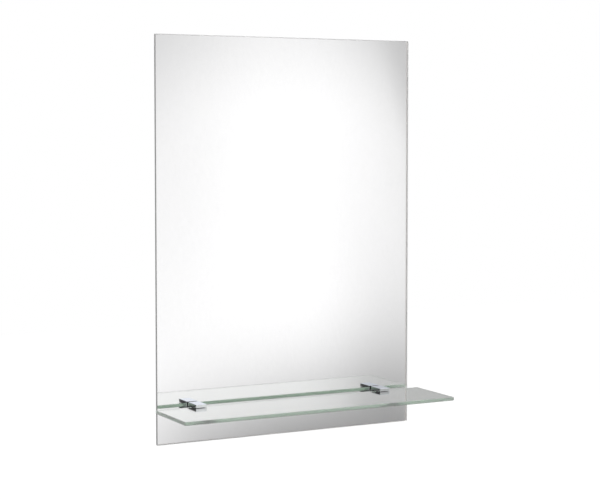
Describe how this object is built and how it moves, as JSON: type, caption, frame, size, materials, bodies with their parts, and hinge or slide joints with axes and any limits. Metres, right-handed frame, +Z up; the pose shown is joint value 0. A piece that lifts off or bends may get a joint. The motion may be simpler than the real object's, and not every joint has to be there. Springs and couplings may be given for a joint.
{
  "type": "mirror with shelf",
  "caption": "Frameless wall mirror with a clear glass shelf near its lower edge, held by chrome clamps bolted through the pane; keyhole hangers behind.",
  "frame": {"origin": "on the wall plane, midway between the round entries of the two hanger keyholes", "axes": "+X to the viewer's right, -Y out of the wall towards the viewer, +Z up"},
  "size_m": [0.52, 0.1553, 0.7],
  "materials": {
    "pane_glass": "clear float glass with ground edges",
    "shelf_glass": "clear float glass with polished green edges",
    "silver": "silver mirror coating",
    "back_paint": "grey protective paint",
    "chrome": "polished chrome on zinc die-cast",
    "zinc_steel": "bright zinc plate",
    "soft_pad": "matt soft rubber",
    "nylon": "natural nylon",
    "foam_tape": "white foam tape",
    "bumper_rubber": "grey soft bumper"
  },
  "bodies": {
    "mirror": {"mirror_glass": "pane_glass", "silver_coating": "silver", "backing_paint": "back_paint", "left_clamp_body": "chrome", "right_clamp_body": "chrome", "left_upper_pad": "soft_pad", "right_upper_pad": "soft_pad", "left_front_washer": "nylon", "right_front_washer": "nylon", "left_hole_sleeve": "nylon", "right_hole_sleeve": "nylon", "left_soft_washer": "soft_pad", "right_soft_washer": "soft_pad", "left_steel_washer": "zinc_steel", "right_steel_washer": "zinc_steel", "left_clamp_bolt": "zinc_steel", "right_clamp_bolt": "zinc_steel", "left_hanger_plate": "zinc_steel", "right_hanger_plate": "zinc_steel", "left_hanger_tape": "foam_tape", "right_hanger_tape": "foam_tape", "left_bumper": "bumper_rubber", "right_bumper": "bumper_rubber"},
    "shelf": {"shelf_glass": "shelf_glass"},
    "left_clamp_plate": {"left_pressure_plate": "zinc_steel", "left_lower_pad": "soft_pad"},
    "left_clamp_screw": {"left_set_screw": "zinc_steel"},
    "right_clamp_plate": {"right_pressure_plate": "zinc_steel", "right_lower_pad": "soft_pad"},
    "right_clamp_screw": {"right_set_screw": "zinc_steel"}
  },
  "joints": [
    {"name": "shelf_slide", "type": "slide", "parent": "mirror", "child": "shelf", "axis": [0, -1, 0], "range_m": [0, 0.04]},
    {"name": "left_plate_travel", "type": "slide", "parent": "mirror", "child": "left_clamp_plate", "axis": [0, 0, -1], "range_m": [0, 0.0012]},
    {"name": "left_screw_turn", "type": "hinge", "parent": "left_clamp_plate", "child": "left_clamp_screw", "pos_m": [-0.182, -0.0388, -0.5566], "axis": [0, 0, -1], "range_deg": [0, 540]},
    {"name": "right_plate_travel", "type": "slide", "parent": "mirror", "child": "right_clamp_plate", "axis": [0, 0, -1], "range_m": [0, 0.0012]},
    {"name": "right_screw_turn", "type": "hinge", "parent": "right_clamp_plate", "child": "right_clamp_screw", "pos_m": [0.182, -0.0388, -0.5566], "axis": [0, 0, -1], "range_deg": [0, 540]}
  ],
  "couplings": [
    {"joint": "left_screw_turn", "follows": "left_plate_travel", "rad_per_m": 7853.9},
    {"joint": "right_screw_turn", "follows": "right_plate_travel", "rad_per_m": 7853.9}
  ]
}
